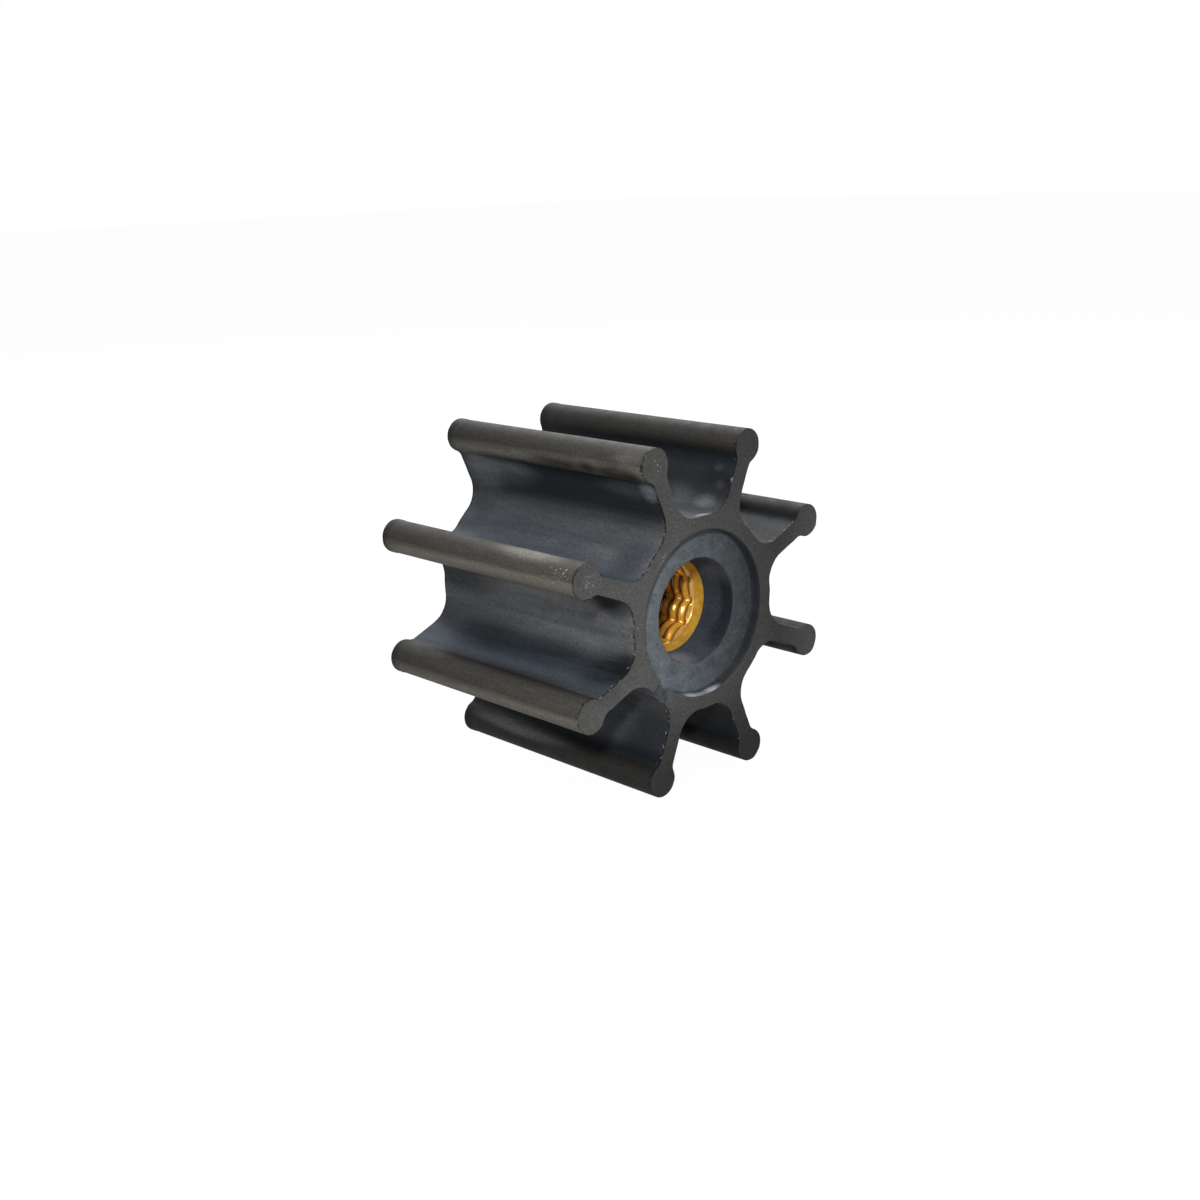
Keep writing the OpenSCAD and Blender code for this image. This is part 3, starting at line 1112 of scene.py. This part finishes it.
    def add_specks(self, tree: NodeTree, at: Whereabouts, colour: NodeSocket) -> NodeSocket:
        """Scatters pale specks of dirt over a colour, close together within each patch."""
        flecks = add_node(tree, "TexNoise", self.fleck.over(tree, at))
        crowd = self.patch(tree, at, self.specks[0])
        for patch in self.specks[1:]:
            crowd = add_node(tree, "Math", {0: crowd, 1: self.patch(tree, at, patch)}, operation="MAXIMUM")
        level = add_node(tree, "MapRange", self.fleck_crowd.of(crowd))
        height = add_node(tree, "Math", {0: flecks, 1: level}, operation="ADD")
        share = add_node(tree, "MapRange", self.fleck_height.of(height))
        mixed = add_node(tree, "Mix", {0: share, 6: colour, 7: linear(self.speck)}, data_type="RGBA")
        return mixed.outputs[2]

    def material(self, rotor: MouldedRotor) -> Material:
        """Makes the rubber's material.

        Args:
            rotor: The rotor that it covers, whose sizes place the zones.

        Returns:
            The new material.
        """
        material = bpy.data.materials.new("moulded_nitrile_rubber")
        tree = empty_tree(material)
        at = Whereabouts(tree)
        ends = add_node(tree, "MapRange", self.end_facing.of(at.along_facing))
        bead = Fade((rotor.tip_r - 2 * rotor.bead_r) / MM, (rotor.tip_r - 1.5 * rotor.bead_r) / MM)
        beads = add_node(tree, "MapRange", bead.of(at.radius), interpolation_type="SMOOTHSTEP")
        in_mouth = add_node(tree, "Math", {0: at.radius, 1: rotor.mouth_r / MM + self.mouth_margin_mm},
                            operation="LESS_THAN")
        sunk = add_node(tree, "Math", {0: at.from_middle, 1: rotor.face_y / MM - self.recess_margin_mm},
                        operation="LESS_THAN")
        streaks, bands, grain, cloud, mottle = (
            add_node(tree, "TexNoise", pattern.over(tree, at))
            for pattern in (self.streak, self.band, self.grain, self.cloud, self.mottle))

        walls = add_node(tree, "Mix", {0: in_mouth, 6: self.wall_tone(tree, at, beads, streaks, bands),
                                       7: self.mouth_tone(tree, at, cloud)}, data_type="RGBA")
        walls = self.add_marks_and_painted_light(tree, at, walls.outputs[2], bands)
        walls = self.add_edge_shade_and_glints(tree, at, walls, beads, rotor.face_y / MM)
        # The end faces' dusty share, with painted light towards -X and painted shade low down
        end_dust = self.dust_and_light_on_ends(tree, at)
        in_nick = self.recess_in_nick.around(rotor.recess_r / MM)
        # The recess takes the ends' share, with painted shade of the rim towards +X
        recess_dust = faded(tree, end_dust, (self.recess_shade_aside, at.x), (in_nick, at.radius))
        flats = add_node(tree, "Mix", {0: sunk, 6: self.skin(tree, self.face, end_dust, grain),
                                       7: self.skin(tree, self.recess, recess_dust, cloud)},
                         data_type="RGBA")
        skin = add_node(tree, "Mix", {0: ends, 6: walls, 7: flats.outputs[2]}, data_type="RGBA")
        shade = add_node(tree, "MapRange", self.mottled.of(mottle))
        mottled = add_node(tree, "VectorMath", {0: skin.outputs[2], "Scale": shade}, operation="SCALE")
        colour = self.add_specks(tree, at, mottled.outputs[0])

        rough = add_node(tree, "MapRange", self.rough.of(cloud))
        bump_fine = add_node(tree, "Bump", {"Height": grain, "Distance": self.grain_depth,
                                            "Strength": self.grain_strength})
        bump = add_node(tree, "Bump", {"Height": streaks, "Distance": self.streak_depth,
                                       "Strength": self.streak_strength, "Normal": bump_fine})
        shader = add_node(tree, "BsdfPrincipled", {
            Socket.COLOUR.value: colour, Socket.ROUGHNESS.value: rough,
            Socket.IOR.value: self.ior, Socket.SPECULAR.value: self.specular,
            Socket.NORMAL.value: bump})
        add_node(tree, "OutputMaterial", {"Surface": shader})
        return material


@dataclass(frozen=True)
class CastBronze:
    """Cast bronze, turned and broached: a warm gold that goes brown deep in the bore, in dirt and painted
    shade.

    The slopes of the turned grooves that look to the insert's middle take the same brown, dirt and
    painted shade, as they face away from the light. A thin clear coat keeps the highlights small and
    bright, as a wiped film of oil does.
    """

    bright: str = "#f3c654"
    dull: str = "#e2a63e"
    inner: str = "#eeb046"
    # Brown of dirt and painted shade, deep in the bore and on the groove slopes that face the middle
    grime_and_shade: str = "#5a2a10"
    metallic: float = 0.35
    coat: float = 0.5
    coat_roughness: float = 0.1
    dull_at: float = 0.35
    bright_at: float = 0.62
    # Feed marks of the turning, finer than a pixel: they only break up the gloss
    turning: Pattern = Pattern(0.07, 3.0, stretch=(0.12, 1, 0.12))
    turning_depth: float = 0.006 * MM
    turning_strength: float = 0.3
    cloud: Pattern = Pattern(1.6, 5.0)
    rough: Fade = Fade(0.3, 0.7, 0.21, 0.29)
    # Dirt and painted shade: darker past the third groove and on slopes that face away from the light
    grime_and_shade_deep: Fade = Fade(9.8, 6.4)
    grime_and_shade_facing: Fade = Fade(0.25, -0.3, 0.0, 0.9)
    spline_from_end: Fade = Fade(-3.0, -3.2)
    lead_from_end: Fade = Fade(-1.9, -2.2, 0.0, 0.45)

    def material(self, insert: BronzeInsert) -> Material:
        """Makes the bronze's material.

        Args:
            insert: The insert that it covers.

        Returns:
            The new material.
        """
        material = bpy.data.materials.new("cast_bronze_turned_and_broached")
        tree = empty_tree(material)
        at = Whereabouts(tree)
        end_mm = insert.half_length / MM
        turning = add_node(tree, "TexNoise", self.turning.over(tree, at))
        cloud = add_node(tree, "TexNoise", self.cloud.over(tree, at))
        tone = set_ramp(add_node(tree, "ValToRGB", {0: cloud}),
                        [(self.dull_at, self.dull), (self.bright_at, self.bright)])
        # Dirt and painted shade: brown deep in the bore and on the slopes facing the middle
        deep = add_node(tree, "MapRange", self.grime_and_shade_deep.of(at.from_middle))
        side = add_node(tree, "Math", {0: at.y}, operation="SIGN")
        outward = add_node(tree, "Math", {0: at.shaft_facing, 1: side}, operation="MULTIPLY")
        away = add_node(tree, "MapRange", self.grime_and_shade_facing.of(outward))
        dirt = add_node(tree, "Math", {0: deep, 1: away}, operation="MAXIMUM")
        inside = add_node(tree, "MapRange", self.spline_from_end.around(end_mm).of(at.from_middle))
        dirt = add_node(tree, "Math", {0: dirt, 1: inside}, operation="MULTIPLY")
        lead = add_node(tree, "MapRange", self.lead_from_end.around(end_mm).of(at.from_middle))
        colour = tone.outputs[0]
        for share, over in ((lead, self.grime_and_shade), (inside, self.inner), (dirt, self.grime_and_shade)):
            mixed = add_node(tree, "Mix", {0: share, 6: colour, 7: linear(over)}, data_type="RGBA")
            colour = mixed.outputs[2]
        rough = add_node(tree, "MapRange", self.rough.of(turning))
        bump = add_node(tree, "Bump", {"Height": turning, "Distance": self.turning_depth,
                                       "Strength": self.turning_strength})
        shader = add_node(tree, "BsdfPrincipled", {
            Socket.COLOUR.value: colour, Socket.METALLIC.value: self.metallic,
            Socket.ROUGHNESS.value: rough, Socket.NORMAL.value: bump,
            Socket.COAT.value: self.coat, Socket.COAT_ROUGHNESS.value: self.coat_roughness})
        add_node(tree, "OutputMaterial", {"Surface": shader})
        return material


@dataclass
class ProductCamera:
    """The camera, at the photograph's place and angle."""

    azimuth: float = -43.40
    elevation: float = 15.89
    roll: float = -1.92
    distance: float = 281.4 * MM
    aside: float = -0.677 * MM
    above: float = -2.137 * MM
    lens: float = 46.37
    sensor: float = 36.0
    nearest: float = 10 * MM
    farthest: float = 20.0

    def build(self) -> None:
        """Adds the camera and makes it the scene's own."""
        turn, tilt, roll = (math.radians(a) for a in (self.azimuth, self.elevation, self.roll))
        back = Vector((math.sin(turn) * math.cos(tilt), -math.cos(turn) * math.cos(tilt), math.sin(tilt)))
        level = Vector((math.cos(turn), math.sin(turn), 0))
        upright = back.cross(level)
        right = math.cos(roll) * level + math.sin(roll) * upright
        up = back.cross(right)
        data = bpy.data.cameras.new("product_camera")
        data.lens = self.lens
        data.sensor_width = self.sensor
        data.clip_start = self.nearest
        data.clip_end = self.farthest
        camera = bpy.data.objects.new("product_camera", data)
        camera.matrix_world = Matrix.Translation(
            back * self.distance + right * self.aside + up * self.above
        ) @ Matrix((right, up, back)).transposed().to_4x4()
        bpy.context.scene.collection.objects.link(camera)
        bpy.context.scene.camera = camera


@dataclass(frozen=True)
class Lamp:
    """A soft square lamp that looks at the rotor.

    Args:
        name: The lamp's name.
        place: Where it stands.
        watts: Its power.
        side: The side of its panel.
    """

    name: str
    place: tuple[float, float, float]
    watts: float
    side: float = 0.3

    def build(self) -> None:
        """Adds the lamp to the scene."""
        data = bpy.data.lights.new(self.name, "AREA")
        data.size = self.side
        data.energy = self.watts
        lamp = bpy.data.objects.new(self.name, data)
        lamp.location = self.place
        lamp.rotation_mode = "QUATERNION"
        lamp.rotation_quaternion = Vector(self.place).to_track_quat("Z", "Y")
        bpy.context.scene.collection.objects.link(lamp)


@dataclass
class Studio:
    """A pale floor, a white surround and soft lamps.

    Args:
        floor_z: Height of the floor, on which the rotor rests.
    """

    floor_z: float
    floor_size: float = 6.0
    floor_paint: str = "#9c9c9c"
    floor_white: float = 1.08
    surround: float = 0.3
    white: float = 1.0
    glow_share: float = 0.9
    lamps: tuple[Lamp, ...] = (
        Lamp("key_back_right", (0.30, 0.30, 0.42), 4.2),
        Lamp("rim_back", (0.0, 0.42, 0.42), 1.2),
        Lamp("fill_left", (-0.45, 0.0, 0.40), 0.8),
        Lamp("fill_right", (0.30, -0.30, 0.42), 0.4),
        Lamp("fill_low_left", (-0.5, -0.22, 0.02), 0.5),
        Lamp("by_the_camera", (-0.37, -0.34, 0.26), 2.1, side=0.05),
    )

    def seen_directly(self, tree: NodeTree) -> Node:
        """Adds the factor that is 1 for rays from the camera and off gloss or through glass."""
        path = add_node(tree, "LightPath")
        seen = path.outputs["Is Camera Ray"]
        for ray in ("Is Glossy Ray", "Is Transmission Ray"):
            seen = add_node(tree, "Math", {0: seen, 1: path.outputs[ray]}, operation="MAXIMUM")
        return seen

    def build_surround(self) -> None:
        """Sets the world: white where it is seen, and a plain soft light on the rotor."""
        world = bpy.data.worlds.new("white_surround")
        bpy.context.scene.world = world
        tree = empty_tree(world)
        strength = add_node(tree, "MapRange", {0: self.seen_directly(tree), 3: self.surround, 4: self.white})
        light = add_node(tree, "Background", {"Color": linear("#ffffff"), "Strength": strength})
        add_node(tree, "OutputWorld", {"Surface": light})

    def build_floor(self) -> None:
        """Lays the matt white floor, which keeps a faint shadow of the rotor."""
        bpy.ops.object.select_all(action="DESELECT")
        bpy.ops.mesh.primitive_plane_add(size=self.floor_size, location=(0, 0, self.floor_z))
        floor = take_added("studio_floor")
        material = bpy.data.materials.new("matt_white_floor")
        tree = empty_tree(material)
        paint = add_node(tree, "BsdfDiffuse", {"Color": linear(self.floor_paint)})
        glow = add_node(tree, "Emission", {"Color": linear("#ffffff"), "Strength": self.floor_white})
        share = add_node(tree, "Math", {0: self.seen_directly(tree), 1: self.glow_share},
                         operation="MULTIPLY")
        mixed = add_node(tree, "MixShader", {0: share, 1: paint, 2: glow})
        add_node(tree, "OutputMaterial", {"Surface": mixed})
        floor.data.materials.append(material)

    def build(self) -> None:
        """Sets up the whole studio."""
        self.build_surround()
        self.build_floor()
        for lamp in self.lamps:
            lamp.build()


def stand_for(piece: Object, node: str, material: Material) -> None:
    """Dresses a piece, rides it on the body and lets it stand for its node.

    Args:
        piece: The finished piece.
        node: The node that it replaces.
        material: Its material.
    """
    piece.data.materials.clear()
    piece.data.materials.append(material)
    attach(piece, "root")
    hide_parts(node)
    LOG.info("%s: %d faces", piece.name, len(piece.data.polygons))


def main() -> None:
    """Builds the impeller and its studio."""
    logging.basicConfig(level=logging.INFO, format="%(name)s %(message)s")
    bpy.context.scene.view_settings.view_transform = "Standard"
    rotor_low, rotor_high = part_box("rubber_rotor")
    insert_low, insert_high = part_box("bronze_insert")
    insert = BronzeInsert(half_length=(insert_high.y - insert_low.y) / 2)
    rotor = MouldedRotor(half_width=(rotor_high.y - rotor_low.y) / 2, insert=insert)
    stand_for(rotor.build(), "rubber_rotor", NitrileRubber().material(rotor))
    stand_for(insert.build(), "bronze_insert", CastBronze().material(insert))
    Studio(floor_z=rotor_low.z).build()
    ProductCamera().build()


if __name__ == "__main__":
    main()
